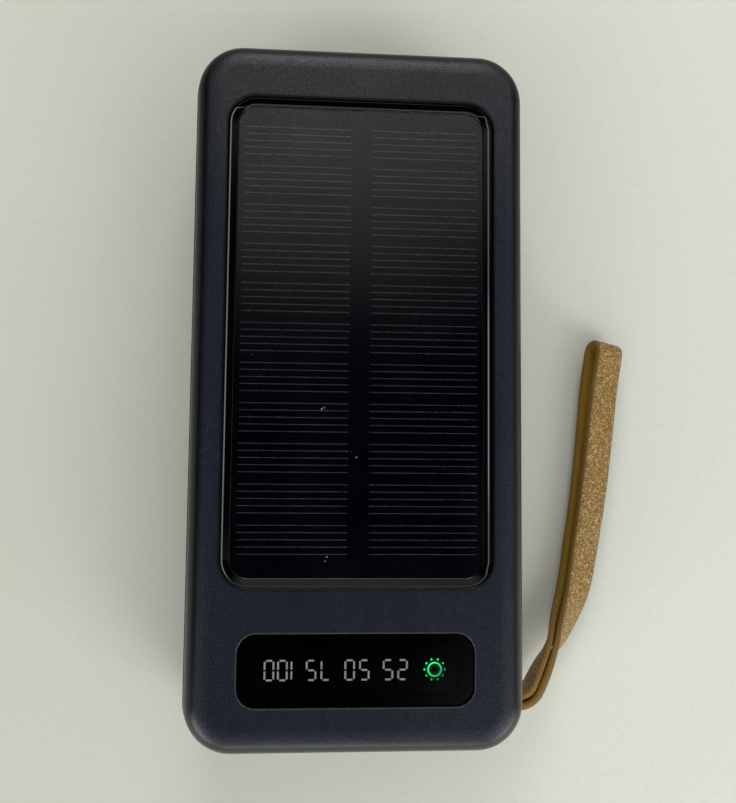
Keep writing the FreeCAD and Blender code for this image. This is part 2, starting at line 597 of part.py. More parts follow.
def make_chips():
    """The larger electronic pieces on the main board."""
    inductor = block("inductor_block", ("inductor_side", "inductor_side", "inductor_high"), INDUCTOR_PLACE,
                     BOARD_TOP)
    rounded = doc.addObject("Part::Chamfer", "power_inductor")
    rounded.Base = inductor
    doc.recompute()
    bevel = SIZES["inductor_bevel"]
    rounded.Edges = [(number, bevel, bevel) for number, edge in enumerate(inductor.Shape.Edges, start=1)
                     if abs(edge.BoundBox.ZLength - SIZES["inductor_high"]) < 1e-4]
    keep(rounded, "power_inductor")
    for label, centre in CHIP_PLACES.items():
        keep(block(label, ("chip_side", "chip_side", "chip_high"), centre, BOARD_TOP), label)
    cans = [post(f"capacitor_{number}", "capacitor_radius", "capacitor_high", spot, BOARD_TOP)
            for number, spot in enumerate(CAPACITOR_PLACES)]
    group("capacitors", cans)
    small = [block(f"small_part_{number}", ("resistor_length", "resistor_length / 2", "resistor_high"),
                   (f"({number - 4}) * resistor_pitch", "resistor_y"), BOARD_TOP) for number in range(9)]
    group("chip_resistors", small)


def make_port(label, x, kind):
    """A socket: a metal sleeve round a plastic tongue that carries the contacts."""
    sleeve = new_body(label + "_sleeve")
    centre_z = f"{BOARD_TOP} + {kind}_high / 2"
    outer = new_sketch(sleeve, label + "_outline", "XZ_Plane", x=x, y=centre_z,
                       offset=f"socket_front - {kind}_deep")
    outer_radius = f"{kind}_high / 2.01" if kind == "oval" else "sleeve_corner"
    draw_rectangle(outer, f"{kind}_wide", f"{kind}_high", outer_radius)
    pad(sleeve, outer, f"{kind}_deep")
    bore = new_sketch(sleeve, label + "_mouth", "XZ_Plane", x=x, y=centre_z,
                      offset=f"socket_front - {kind}_deep + sleeve_back")
    draw_rectangle(bore, f"{kind}_wide - 2 * sleeve_thick", f"{kind}_high - 2 * sleeve_thick",
                   f"{outer_radius} - sleeve_thick")
    pocket(sleeve, bore, f"{kind}_deep")
    tongue_y = f"-(socket_front - {kind}_deep / 2)"
    lift = "usb_high / 5" if kind == "usb" else "0"
    tongue_high = f"{kind}_high * tongue_share"
    size = (f"{kind}_wide - 2 * sleeve_thick - 2 * tongue_gap", f"{kind}_deep - 2 * sleeve_back", tongue_high)
    keep(block(label + "_tongue", size, (x, tongue_y), f"{centre_z} - {tongue_high} / 2 + {lift}"),
         label + "_tongue")


# ---------------------------------------------------------------- power button

def make_button():
    """The button cap with its inner flange, the switch that it presses and the switch's plunger."""
    body = new_body("power_button")
    steps = [("cap", "button_face", "flange_out", "0", "button_high / 2.02"),
             ("flange", "flange_out", "flange_in", "flange_lap", "button_high / 2.02"),
             ("nub", "flange_in", "nub_in", "nub_lap", "nub_corner")]
    for name, far, near, lap, radius in steps:
        sketch = new_sketch(body, "button_" + name, "YZ_Plane", x="button_y", y="button_z",
                            offset=f"-({far})")
        draw_rectangle(sketch, f"button_length + 2 * ({lap})", f"button_high + 2 * ({lap})", radius)
        solid = pad(body, sketch, f"({far}) - ({near})")
        if name == "cap":
            face = [f"Edge{number}" for number, edge in enumerate(solid.Shape.Edges, start=1)
                    if edge.BoundBox.XMax < -value("button_face") + 1e-4]
            dress(body, "Fillet", solid, face, "button_round", "Radius")

    housing = block("switch_block", ("switch_out - switch_in", "switch_length", "switch_high"),
                    ("-(switch_out + switch_in) / 2", "button_y"), BOARD_TOP)
    well = block("switch_well", ("switch_out - plunger_in + well_overcut", "plunger_length + 2 * plunger_gap",
                                 "plunger_high + 2 * plunger_gap"),
                 ("-(switch_out + plunger_in - well_overcut) / 2", "button_y"),
                 "button_z - plunger_high / 2 - plunger_gap")
    keep(cut("button_switch", housing, well), "button_switch")
    plunger = block("switch_plunger",
                    ("nub_in - plunger_in - plunger_play", "plunger_length", "plunger_high"),
                    ("-(nub_in - plunger_play + plunger_in) / 2", "button_y"), "button_z - plunger_high / 2")
    keep(plunger, "switch_plunger")


# ---------------------------------------------------------------- wires

def make_wire(label, x, points):
    """An insulated wire in a plane of constant X: straight runs with round bends between them."""
    route = [Vector(x, y, z) for y, z in points]
    path = rounded_path(route, lambda corner: SIZES["wire_bend"])
    start, ahead = route[0], route[1] - route[0]
    ring = Part.Wire(Part.makeCircle(SIZES["wire_radius"], start, ahead))
    wire = doc.addObject("Part::Feature", label)
    wire.Shape = path.makePipeShell([ring], True, False)
    keep(wire, label)


def rounded_path(points, bend_radius):
    """Straight runs joined by tangent arcs at every inner point."""
    edges = []
    at = points[0]
    for before, corner, after in zip(points, points[1:], points[2:]):
        back, ahead = (before - corner).normalize(), (after - corner).normalize()
        half_turn = (math.pi - back.getAngle(ahead)) / 2
        radius = bend_radius(corner)
        reach = radius * math.tan(half_turn)
        enter, leave = corner + back * reach, corner + ahead * reach
        inward = (back + ahead).normalize()
        middle = corner + inward * (radius / math.cos(half_turn) - radius)
        edges.append(Part.LineSegment(at, enter).toShape())
        edges.append(Part.Arc(enter, middle, leave).toShape())
        at = leave
    edges.append(Part.LineSegment(at, points[-1]).toShape())
    return Part.Wire(edges)


def make_wires():
    """Panel wires drop through the cover's slot; battery wires come from the upper cell's tabs."""
    board_top = value(BOARD_TOP)
    drop_y = value("wire_slot_y")
    rest = board_top + SIZES["wire_radius"]
    end_y = drop_y - SIZES["wire_run"]
    for label, x in (("panel_wire_positive", -SIZES["wire_x"]), ("panel_wire_negative", SIZES["wire_x"])):
        make_wire(label, x, [(drop_y, value("bezel_low + tape_thick")), (drop_y, rest), (end_y, rest)])
    tab_z = value("floor + foam_thick + battery_thick * 1.5 + battery_tape")
    for label, side in (("battery_wire_positive", -1), ("battery_wire_negative", 1)):
        make_wire(label, side * value("tab_pitch") / 2, [(drop_y, tab_z), (drop_y, rest), (end_y, rest)])


# ---------------------------------------------------------------- wrist strap

def make_strap():
    """A band of flat strap, folded in two, looped round a pin in the corner of the case; each bend
    takes up a little under half of the shorter run beside it."""
    keep(post("strap_pin", "pin_radius", "pin_high - pin_low", ("pin_x", "pin_y"), "pin_low"), "strap_pin")

    pin = Vector(SIZES["pin_x"], SIZES["pin_y"], 0)
    low_edge = Vector(0, 0, -SIZES["strap_width"] / 2)
    route = [Vector(x, y, 0) - pin + low_edge for x, y in STRAP_ROUTE]
    runs = [(b - a).Length for a, b in zip(route, route[1:])]

    def bend_radius(corner):
        number = route.index(corner)
        turn = (route[number] - route[number - 1]).getAngle(route[number + 1] - route[number])
        return 0.45 * min(runs[number - 1], runs[number]) / math.tan(turn / 2)

    centre_line = rounded_path(route, bend_radius)
    outer = swollen(centre_line, SIZES["strap_eye"] + SIZES["strap_thick"] / 2)
    inner = swollen(centre_line, SIZES["strap_eye"] - SIZES["strap_thick"] / 2)
    strap = doc.addObject("Part::Feature", "wrist_strap")
    strap.Shape = outer.cut(inner)
    strap.Placement = Placement(pin + Vector(0, 0, SIZES["strap_centre_z"]),
                                Rotation(Vector(1, 0, 0), -SIZES["strap_tilt"]))
    keep(strap, "wrist_strap")


def swollen(path, radius):
    """The upright slab that covers everything within a radius of a flat path."""
    outline = path.makeOffset2D(radius, 0, False, False)
    return Part.Face(outline).extrude(Vector(0, 0, SIZES["strap_width"]))


# ---------------------------------------------------------------- build, check and write

make_rear_shell()
make_front_cover()
make_case_screws()
make_panel()
make_display()
make_battery()
make_main_board()
make_chips()
for port_label, port_x, port_kind in SOCKETS:
    make_port(port_label, port_x, port_kind)
make_button()
make_wires()
make_strap()
doc.recompute()

for thing in doc.Objects:
    if "Invalid" in thing.State or "Error" in thing.State:
        raise RuntimeError(f"{thing.Name} failed: {thing.State}")
os.makedirs("parts", exist_ok=True)
for piece in finished:
    shape = piece.Shape
    if shape.isNull() or not shape.isValid() or not shape.Solids:
        raise RuntimeError(f"{piece.Label} has no valid solid")
    shape.exportStep(os.path.join("parts", piece.Label + ".step"))
    box = shape.BoundBox
    print(f"{piece.Label}: {len(shape.Solids)} solid(s), volume {shape.Volume:.1f}, "
          f"x {box.XMin:.2f}..{box.XMax:.2f}, y {box.YMin:.2f}..{box.YMax:.2f}, "
          f"z {box.ZMin:.2f}..{box.ZMax:.2f}")
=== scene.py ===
import math
import random

import bmesh
import bpy
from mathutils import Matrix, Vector


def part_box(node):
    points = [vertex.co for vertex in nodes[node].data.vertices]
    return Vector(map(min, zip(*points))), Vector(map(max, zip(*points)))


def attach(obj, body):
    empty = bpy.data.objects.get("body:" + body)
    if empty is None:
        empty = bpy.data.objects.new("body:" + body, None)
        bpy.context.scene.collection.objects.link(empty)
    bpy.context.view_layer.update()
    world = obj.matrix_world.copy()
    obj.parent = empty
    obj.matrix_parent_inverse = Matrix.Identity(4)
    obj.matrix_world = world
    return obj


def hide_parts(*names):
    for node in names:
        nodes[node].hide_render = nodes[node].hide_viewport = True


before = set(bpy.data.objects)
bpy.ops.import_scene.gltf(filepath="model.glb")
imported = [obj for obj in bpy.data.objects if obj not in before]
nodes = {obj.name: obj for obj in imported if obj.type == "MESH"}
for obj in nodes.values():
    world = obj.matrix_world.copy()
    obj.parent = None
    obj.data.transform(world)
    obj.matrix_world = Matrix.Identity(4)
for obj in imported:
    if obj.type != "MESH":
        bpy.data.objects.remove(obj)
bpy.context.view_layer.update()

# A pocket solar power bank on a pale table. Lengths are metres unless a name ends in _mm or a comment
# says millimetres, and angles are degrees.
MM = 0.001


# ---------------------------------------------------------------- node and material helpers

def feed(tree, socket, given):
    """Links a socket to a node's output or sets its value; a colour may leave out its alpha."""
    if isinstance(given, bpy.types.NodeSocket):
        tree.links.new(given, socket)
    elif socket.type == "RGBA" and len(given) == 3:
        socket.default_value = (*given, 1)
    else:
        socket.default_value = given


def add_node(tree, kind, inputs=None, **settings):
    """A new shader node with its settings and inputs, given by their names or numbers."""
    node = tree.nodes.new("ShaderNode" + kind)
    for name, setting in settings.items():
        setattr(node, name, setting)
    for name, given in (inputs or {}).items():
        feed(tree, node.inputs[name], given)
    return node


class Paint:
    """A material's nodes, with a short call for each kind of node that is used here."""

    # The Mix node's sockets for colours.
    MIX_SHARE, MIX_FIRST, MIX_SECOND, MIX_RESULT = 0, 6, 7, 2

    def __init__(self, name, **fixed):
        self.material = bpy.data.materials.new(name)
        self.material.use_nodes = True
        self.tree = self.material.node_tree
        self.tree.nodes.clear()
        self.shader = self.add("BsdfPrincipled")
        output = self.add("OutputMaterial")
        self.tree.links.new(self.shader.outputs[0], output.inputs["Surface"])
        self.spot = None
        self.set(**fixed)

    def add(self, kind, inputs=None, **settings):
        return add_node(self.tree, kind, inputs, **settings)

    def set(self, **given):
        """Sets the shader's own inputs; an underscore stands for a space in a name."""
        for name, number in given.items():
            feed(self.tree, self.shader.inputs[name.replace("_", " ")], number)

    def math(self, operation, *numbers):
        return self.add("Math", dict(enumerate(numbers)), operation=operation).outputs[0]

    def vector(self, operation, *vectors):
        return self.add("VectorMath", dict(enumerate(vectors)), operation=operation).outputs[0]

    def place(self, stretch=(1, 1, 1)):
        """The point on the piece in millimetres, stretched for a directional grain."""
        if self.spot is None:
            self.spot = self.add("TexCoord").outputs["Object"]
        return self.vector("MULTIPLY", self.spot, tuple(s / MM for s in stretch))

    def axes(self):
        """X, Y and Z of the point on the piece in millimetres."""
        return self.add("SeparateXYZ", {"Vector": self.place()}).outputs

    def noise(self, per_mm, detail=3.0, rough=0.55, stretch=(1, 1, 1)):
        return self.add("TexNoise", {"Vector": self.place(stretch), "Scale": per_mm, "Detail": detail,
                                     "Roughness": rough}).outputs["Fac"]

    def cells(self, per_mm, output="Color"):
        return self.add("TexVoronoi", {"Vector": self.place(), "Scale": per_mm}).outputs[output]

    def span(self, number, low, high, to_low=0.0, to_high=1.0, smooth=False):
        """Carries low to high over to to_low to to_high, and holds it there outside them."""
        kind = "SMOOTHSTEP" if smooth else "LINEAR"
        return self.add("MapRange", {"Value": number, "From Min": low, "From Max": high, "To Min": to_low,
                                     "To Max": to_high}, interpolation_type=kind).outputs["Result"]

    def from_outline(self, half_wide, half_long, middle_y, corner):
        """How far the point lies outside a rounded rectangle, and its direction away, in millimetres."""
        x, y, _ = self.axes()
        legs = []
        for along, half in ((x, half_wide), (self.math("SUBTRACT", y, middle_y), half_long)):
            past_straight = self.math("SUBTRACT", self.math("ABSOLUTE", along), half - corner)
            beyond = self.math("MAXIMUM", past_straight, 0.0)
            legs.append(self.math("MULTIPLY", beyond, self.math("SIGN", along)))
        arrow = self.add("CombineXYZ", {"X": legs[0], "Y": legs[1]}).outputs[0]
        away = self.add("VectorMath", {0: arrow}, operation="LENGTH").outputs["Value"]
        return self.math("SUBTRACT", away, corner), self.vector("NORMALIZE", arrow)

    def mix(self, share, first, second):
        mixed = self.add("Mix", data_type="RGBA")
        for socket, given in ((self.MIX_SHARE, share), (self.MIX_FIRST, first), (self.MIX_SECOND, second)):
            feed(self.tree, mixed.inputs[socket], given)
        return mixed.outputs[self.MIX_RESULT]

    def bump(self, height, depth_mm, strength):
        inputs = {"Height": height, "Distance": depth_mm * MM, "Strength": strength}
        return self.add("Bump", inputs).outputs["Normal"]


def shade(colour, factor):
    return tuple(channel * factor for channel in colour)


# ---------------------------------------------------------------- materials

# Rounded rectangles on the cover, in millimetres: half width, half length, middle y and corner.
WINDOW_LIP = (23.4, 7.1, -55.1, 3.8)
CLEAR_WINDOW = (20.0, 4.6, -55.1, 1.5)
BORDER_RECESS = (27.2, 49.7, 10.4, 5.6)
BORDER_INSIDE = (25.25, 47.75, 10.4, 3.7)
CELL_PITCH_MM = 8.1


def moulded(name, colour, rough, grain_mm, spread=0.15, specular=0.5):
    """Injection-moulded plastic: fine erosion grain, faint flow marks and wiped patches."""
    paint = Paint(name, Specular_IOR_Level=specular)
    grain = paint.noise(1 / grain_mm, detail=2.0)
    flow = paint.noise(0.06, detail=4.0, stretch=(1, 0.35, 1))
    tone = paint.mix(flow, shade(colour, 1 - spread), shade(colour, 1 + spread))
    paint.set(Base_Color=paint.mix(paint.span(grain, 0.35, 0.7), tone, shade(colour, 1 + 2 * spread)))
    wiped = paint.noise(0.11, detail=5.0)
    paint.set(Roughness=paint.span(wiped, 0.3, 0.7, rough - 0.05, rough + 0.06))
    paint.set(Normal=paint.bump(grain, 0.006, 0.6))
    return paint.material


def cover_plastic():
    """The lid's dark satin plastic: a fine crossed hatch on its flat face that ends on the rounded edge."""
    # The hatch's crests are painted a pale blue-grey and its grooves near black: a painted highlight on the
    # crests and painted shade in the grooves.
    groove_shade, plain, lip_highlight_tone = (0.0002, 0.0004, 0.0014), (0.0016, 0.0022, 0.0032), (0.055, 0.057, 0.060)
    ridge_highlight, far_ridge_highlight = (0.052, 0.065, 0.106), (0.112, 0.122, 0.134)
    pitch_mm, face_starts_mm, face_full_mm, slope, lip_mm = 0.345, 26.7, 27.7, 0.14, 0.16
    paint = Paint("cover_plastic", Specular_IOR_Level=0.25)
    x, y, z = paint.axes()
    turn = 2 * math.pi / (pitch_mm * math.sqrt(2))
    first_turn = paint.math("MULTIPLY", paint.math("ADD", x, y), turn)
    second_turn = paint.math("MULTIPLY", paint.math("SUBTRACT", x, y), turn)
    from_window, _ = paint.from_outline(*WINDOW_LIP)
    from_lip = paint.math("ABSOLUTE", paint.math("SUBTRACT", from_window, lip_mm))
    # A thin pale ring is painted round the display window's lip: a painted highlight on its edge.
    lip_highlight = paint.span(from_lip, 0.0, lip_mm, 1.0, 0.0)
    from_border, _ = paint.from_outline(*BORDER_RECESS)
    depth = paint.math("MULTIPLY", paint.span(z, face_starts_mm, face_full_mm, smooth=True),
                       paint.span(from_border, 0.1, 0.6))
    # The hatch is finer than a bump can follow, so its slopes are worked out and added to the normal.
    first = paint.math("MULTIPLY", paint.math("COSINE", first_turn), depth)
    second = paint.math("MULTIPLY", paint.math("COSINE", second_turn), depth)
    tilt_x = paint.math("MULTIPLY", paint.math("ADD", first, second), -slope)
    tilt_y = paint.math("MULTIPLY", paint.math("SUBTRACT", first, second), -slope)
    tilt = paint.add("CombineXYZ", {"X": tilt_x, "Y": tilt_y}).outputs[0]
    fine = paint.bump(paint.noise(4.0, detail=2.0), 0.003, 0.5)
    paint.set(Normal=paint.vector("NORMALIZE", paint.vector("ADD", fine, tilt)))
    ridges = paint.math("MAXIMUM", paint.math("SINE", first_turn), paint.math("SINE", second_turn))
    flow = paint.noise(0.05, detail=4.0, stretch=(1, 0.4, 1))
    crest = paint.span(ridges, 0.80, 1.0)
    # Towards the far end the crests are painted paler and reflect more: a painted highlight.
    far_highlight_share = paint.span(y, 25.0, 66.0, smooth=True)
    crest_highlights = paint.mix(far_highlight_share, ridge_highlight, far_ridge_highlight)
    # Painted highlights on the hatch's crests and painted shade in its grooves, on the flat face only.
    faced = paint.mix(depth, plain, paint.mix(crest, groove_shade, crest_highlights))
    shine = paint.math("MULTIPLY", crest, paint.span(far_highlight_share, 0.0, 1.0, 0.8, 1.0))
    # The smooth edge reflects more towards the near end and less at the far end: a painted sheen.
    near_end_sheen = paint.span(y, -70.0, 70.0, 0.38, 0.05)
    smooth_part = paint.math("MULTIPLY", paint.math("SUBTRACT", 1.0, depth), near_end_sheen)
    paint.set(Specular_IOR_Level=paint.math("ADD", paint.math("MULTIPLY", shine, depth), smooth_part))
    toned = paint.mix(paint.span(flow, 0.3, 0.7, 0.0, 0.25), faced, shade(plain, 0.8))
    # The painted highlight ring round the window's lip.
    paint.set(Base_Color=paint.mix(lip_highlight, toned, lip_highlight_tone))
    wiped = paint.noise(0.09, detail=5.0)
    paint.set(Roughness=paint.span(wiped, 0.3, 0.7, 0.26, 0.30))
    return paint.material


def polish(paint, smooth, dull):
    """Hairline scratches and a little grease on a polished surface; gives the grease's pattern."""
    hair = paint.noise(1.5, detail=6.0, stretch=(1, 0.04, 1))
    grease = paint.noise(0.12, detail=4.0)
    paint.set(Roughness=paint.span(grease, 0.3, 0.75, smooth, dull), Normal=paint.bump(hair, 0.0005, 0.4))
    return grease


def gloss(name, colour, rough):
    """Polished plastic."""
    paint = Paint(name, Specular_IOR_Level=0.5)
    grease = polish(paint, rough, rough + 0.1)
    paint.set(Base_Color=paint.mix(grease, shade(colour, 0.8), shade(colour, 1.3)))
    return paint.material


def edged_gloss():
    """The panel border's polished plastic, with a fine pale line painted along its crest as a painted
    highlight: it runs along the outer side of the frame at the left, right and near end, and crosses to the
    inner side at the far end."""
    half_highlight_mm, bright_y_mm, highlight_tone = 0.21, -2.0, (0.26, 0.27, 0.285)
    paint = Paint("border_plastic", Specular_IOR_Level=0.5)
    _, y, _ = paint.axes()
    away, outward = paint.from_outline(*BORDER_INSIDE)
    out_x, out_y, _ = paint.add("SeparateXYZ", {"Vector": outward}).outputs
    far = paint.span(out_y, 0.55, 0.85, 0.0, -1.15, smooth=True)
    near = paint.span(out_y, -0.85, -0.55, 0.15, 0.0, smooth=True)
    right = paint.span(out_x, 0.75, 0.97, 1.5, 1.05, smooth=True)
    crest_mm = paint.math("ADD", paint.math("ADD", far, near), right)
    beside = paint.math("ABSOLUTE", paint.math("SUBTRACT", away, crest_mm))
    ends = paint.span(out_y, -0.8, 0.8, 0.4, 0.2)
    from_bright = paint.math("ABSOLUTE", paint.math("SUBTRACT", y, bright_y_mm))
    glint = paint.span(from_bright, 15.0, 24.0, 1.0, 0.45)
    sides = paint.math("ADD", paint.math("MULTIPLY", paint.span(out_x, 0.6, 0.9), glint),
                       paint.span(out_x, -0.9, -0.6, 0.8, 0.0))
    highlight_share = paint.math("MAXIMUM", sides, ends)
    # A pale line painted along the crest: a painted highlight.
    line = paint.math("MULTIPLY", paint.span(beside, 0.0, half_highlight_mm, 1.0, 0.0, smooth=True), highlight_share)
    grease = polish(paint, 0.05, 0.13)
    black_tone = paint.mix(grease, (0.0005, 0.0006, 0.0009), (0.0009, 0.0010, 0.0014))
    paint.set(Base_Color=paint.mix(line, black_tone, highlight_tone))
    return paint.material


def metal(name, colour, rough, along=(1, 0.05, 1), grain_per_mm=6.0):
    """Plated or drawn metal with a grain along one axis and dull patches."""
    paint = Paint(name, Metallic=1.0)
    drawn = paint.noise(grain_per_mm, detail=3.0, stretch=along)
    dull = paint.noise(0.5, detail=4.0)
    paint.set(Base_Color=paint.mix(dull, shade(colour, 0.82), colour))
    paint.set(Roughness=paint.math("ADD", paint.span(drawn, 0.3, 0.7, rough - 0.05, rough + 0.08),
                                   paint.span(dull, 0.4, 0.7, 0.0, 0.1)))
    paint.set(Normal=paint.bump(drawn, 0.002, 0.5))
    return paint.material


def clear(name, smoke, rough, wave_mm, window=None):
    """A thin clear sheet: it mirrors what its gloss mirrors, a little less where it's smeared, and lets
    the rest of the light through, apart from the share that its smoke holds back. A sheet with a window
    (a rounded rectangle) is printed black round it."""
    refraction, black_print, print_edge_mm = 1.46, 0.94, 0.3
    paint = Paint(name, Metallic=1.0)
    smear = paint.noise(0.07, detail=5.0, stretch=(1, 0.5, 1))
    fresnel = paint.add("Fresnel", {"IOR": refraction}).outputs[0]
    mirrored = paint.math("MULTIPLY", fresnel, paint.span(smear, 0.3, 0.7, 1.05, 0.9))
    if window:
        outside, _ = paint.from_outline(*window)
        smoke = paint.span(outside, -print_edge_mm, print_edge_mm, smoke, black_print, smooth=True)
    held = paint.math("ADD", mirrored, smoke)
    share = paint.math("DIVIDE", mirrored, held)
    grey = paint.add("CombineXYZ", {"X": share, "Y": share, "Z": share}).outputs[0]
    paint.set(Base_Color=grey, Alpha=held)
    paint.set(Roughness=paint.span(smear, 0.35, 0.75, rough, rough * 1.5))
    paint.set(Normal=paint.bump(paint.noise(0.05, detail=1.0), wave_mm, 0.3))
    return paint.material


def silicon():
    """Dark cells with a faint vertical etch and a slightly different tone from cell to cell."""
    tone_step, dark, light = 0.37, (0.0003, 0.0004, 0.0070), (0.0006, 0.0007, 0.0092)
    paint = Paint("silicon", Roughness=0.3, Specular_IOR_Level=0.02)
    _, y, _ = paint.axes()
    etch = paint.noise(3.0, detail=3.0, stretch=(1, 0.06, 1))
    cell_number = paint.math("FLOOR", paint.math("DIVIDE", y, CELL_PITCH_MM))
    tone = paint.math("FRACT", paint.math("MULTIPLY", cell_number, tone_step))
    base = paint.mix(tone, dark, light)
    paint.set(Base_Color=paint.mix(paint.span(etch, 0.4, 0.75, 0, 0.6), base, shade(light, 1.5)))
    paint.set(Normal=paint.bump(etch, 0.002, 0.4))
    return paint.material


def printed_silver():
    """Screen-printed silver paste: a broken, slightly granular line."""
    paint = Paint("printed_silver", Metallic=0.4)
    broken = paint.noise(2.6, detail=3.0, rough=0.7)
    gap, paste = (0.05, 0.052, 0.056), (0.34, 0.355, 0.38)
    paint.set(Base_Color=paint.mix(paint.span(broken, 0.36, 0.62), gap, paste))
    paint.set(Roughness=paint.span(broken, 0.3, 0.7, 0.38, 0.5))
    paint.set(Normal=paint.bump(broken, 0.004, 0.6))
    return paint.material


def lit(name, colour, strength, centre_mm=None, lean=(0, 0)):
    """A sign lit from behind; its light is a little uneven, and can be stronger on one side."""
    paint = Paint(name, Base_Color=shade(colour, 0.5), Roughness=0.4)
    uneven = paint.span(paint.noise(0.9, detail=2.0), 0.3, 0.7, 0.75, 1.1)
    if centre_mm:
        x, y, _ = paint.axes()
        across = paint.math("MULTIPLY", paint.math("SUBTRACT", x, centre_mm[0]), lean[0])
        along = paint.math("MULTIPLY", paint.math("SUBTRACT", y, centre_mm[1]), lean[1])
        side = paint.math("ADD", paint.math("ADD", across, along), 1.0)
        uneven = paint.math("MULTIPLY", uneven, paint.math("MAXIMUM", side, 0.25))
    paint.set(Emission_Color=colour)
    paint.set(Emission_Strength=paint.math("MULTIPLY", uneven, strength))
    return paint.material


def glowing_housing(centre_mm, ring_mm, reach_mm, colour, strength):
    """The display's matt black housing, with a painted green glow on both sides of the lit ring that stands
    in for its spilt light.
    """
    base = (0.0004, 0.0004, 0.00045)
    paint = Paint("housing_plastic", Roughness=0.7, Specular_IOR_Level=0.02)
    x, y, _ = paint.axes()
    dx, dy = paint.math("SUBTRACT", x, centre_mm[0]), paint.math("SUBTRACT", y, centre_mm[1])
    squares = [paint.math("MULTIPLY", side, side) for side in (dx, dy)]
    away = paint.math("SQRT", paint.math("ADD", *squares))
    from_ring = paint.math("ABSOLUTE", paint.math("SUBTRACT", away, ring_mm))
    near = paint.math("POWER", paint.span(from_ring, 0.0, reach_mm, 1.0, 0.0), 2.0)
    speck = paint.span(paint.noise(2.0, detail=2.0), 0.3, 0.7, 0.7, 1.2)
    grain = paint.noise(5.0, detail=2.0)
    paint.set(Base_Color=paint.mix(grain, shade(base, 0.6), shade(base, 1.4)))
    paint.set(Emission_Color=colour)
    paint.set(Emission_Strength=paint.math("MULTIPLY", paint.math("MULTIPLY", near, speck), strength))
    paint.set(Normal=paint.bump(grain, 0.006, 0.5))
    return paint.material


def circuit_board(name):
    """Green solder mask with paler copper tracks under it."""
    mask, over_copper = (0.006, 0.055, 0.022), (0.018, 0.135, 0.05)
    paint = Paint(name, Coat_Weight=0.3, Coat_Roughness=0.2)
    blocks = paint.cells(0.42)
    hue = paint.add("SeparateXYZ", {"Vector": blocks}).outputs
    x, y, _ = paint.axes()
    stripe_x = paint.span(paint.math("PINGPONG", x, 0.5), 0.22, 0.28)
    stripe_y = paint.span(paint.math("PINGPONG", y, 0.5), 0.22, 0.28)
    pick = paint.math("GREATER_THAN", hue[0], 0.5)
    tracks = paint.math("ADD", paint.math("MULTIPLY", stripe_x, pick),
                        paint.math("MULTIPLY", stripe_y, paint.math("SUBTRACT", 1.0, pick)))
    paint.set(Base_Color=paint.mix(tracks, mask, over_copper))
    paint.set(Roughness=paint.span(paint.noise(1.5), 0.3, 0.7, 0.3, 0.42))
    paint.set(Normal=paint.bump(tracks, 0.03, 0.5))
    return paint.material


def matted(name, colour, grain_mm=0.3, depth_mm=0.02, spread=0.25, rough=0.85, cellular=False):
    """Foam, tape, ceramic or rubber: dull, with pores or fibres."""
    paint = Paint(name, Specular_IOR_Level=0.25)
    if cellular:
        pores = paint.cells(1 / grain_mm, "Distance")
    else:
        pores = paint.noise(1 / grain_mm, detail=4.0, rough=0.65)
    cloud = paint.noise(0.15, detail=3.0)
    base = paint.mix(cloud, shade(colour, 1 - spread / 2), shade(colour, 1 + spread / 2))
    paint.set(Base_Color=paint.mix(paint.span(pores, 0.2, 0.7), shade(colour, 1 - spread), base))
    paint.set(Roughness=paint.span(cloud, 0.3, 0.7, rough - 0.06, rough + 0.06))
    paint.set(Normal=paint.bump(pores, depth_mm, 0.7))
    return paint.material


def pouch_foil():
    """Soft aluminium laminate, faintly wrinkled."""
    paint = Paint("pouch_foil", Metallic=0.85)
    wrinkle = paint.noise(0.25, detail=5.0, stretch=(1, 0.4, 1))
    paint.set(Base_Color=paint.mix(wrinkle, (0.48, 0.49, 0.5), (0.72, 0.73, 0.75)))
    paint.set(Roughness=paint.span(wrinkle, 0.3, 0.7, 0.28, 0.42))
    paint.set(Normal=paint.bump(wrinkle, 0.15, 0.5))
    return paint.material


def glittered_leatherette():
    """Tan coated cloth with fine metallic flakes set at many angles."""
    paint = Paint("glittered_leatherette", Specular_IOR_Level=0.22)
    tan, paler_tan = (0.265, 0.150, 0.030), (0.33, 0.20, 0.050)
    brown_flake, gold_flake = (0.10, 0.048, 0.008), (0.62, 0.46, 0.25)
    red, green, _ = paint.add("SeparateXYZ", {"Vector": paint.cells(4.2)}).outputs
    finer = paint.add("SeparateXYZ", {"Vector": paint.cells(4.9)}).outputs[0]
    base = paint.mix(paint.noise(0.12, detail=4.0), tan, paler_tan)
    speckled = paint.mix(paint.span(finer, 0.35, 0.9, 0.0, 0.85), base, brown_flake)
    paint.set(Base_Color=paint.mix(paint.span(red, 0.70, 0.98), speckled, gold_flake))
    paint.set(Metallic=paint.span(red, 0.86, 0.96, 0.0, 0.6))
    paint.set(Roughness=paint.span(green, 0.0, 1.0, 0.36, 0.62))
    paint.set(Normal=paint.bump(paint.math("ADD", red, paint.math("MULTIPLY", finer, 0.6)), 0.03, 0.8))
    return paint.material


def cloth(name, dark, light, fibres_per_mm, depth_mm):
    """Gold-brown lining cloth, or the cut ends of its threads."""
    paint = Paint(name, Specular_IOR_Level=0.2)
    fibre = paint.noise(fibres_per_mm, detail=3.0, rough=0.7)
    cloud = paint.noise(0.15, detail=3.0)
    raised = paint.mix(cloud, dark, light)
    paint.set(Base_Color=paint.mix(paint.span(fibre, 0.35, 0.7), shade(dark, 0.7), raised))
    paint.set(Roughness=paint.span(fibre, 0.3, 0.7, 0.75, 0.92))
    paint.set(Normal=paint.bump(fibre, depth_mm, 0.8))
    return paint.material


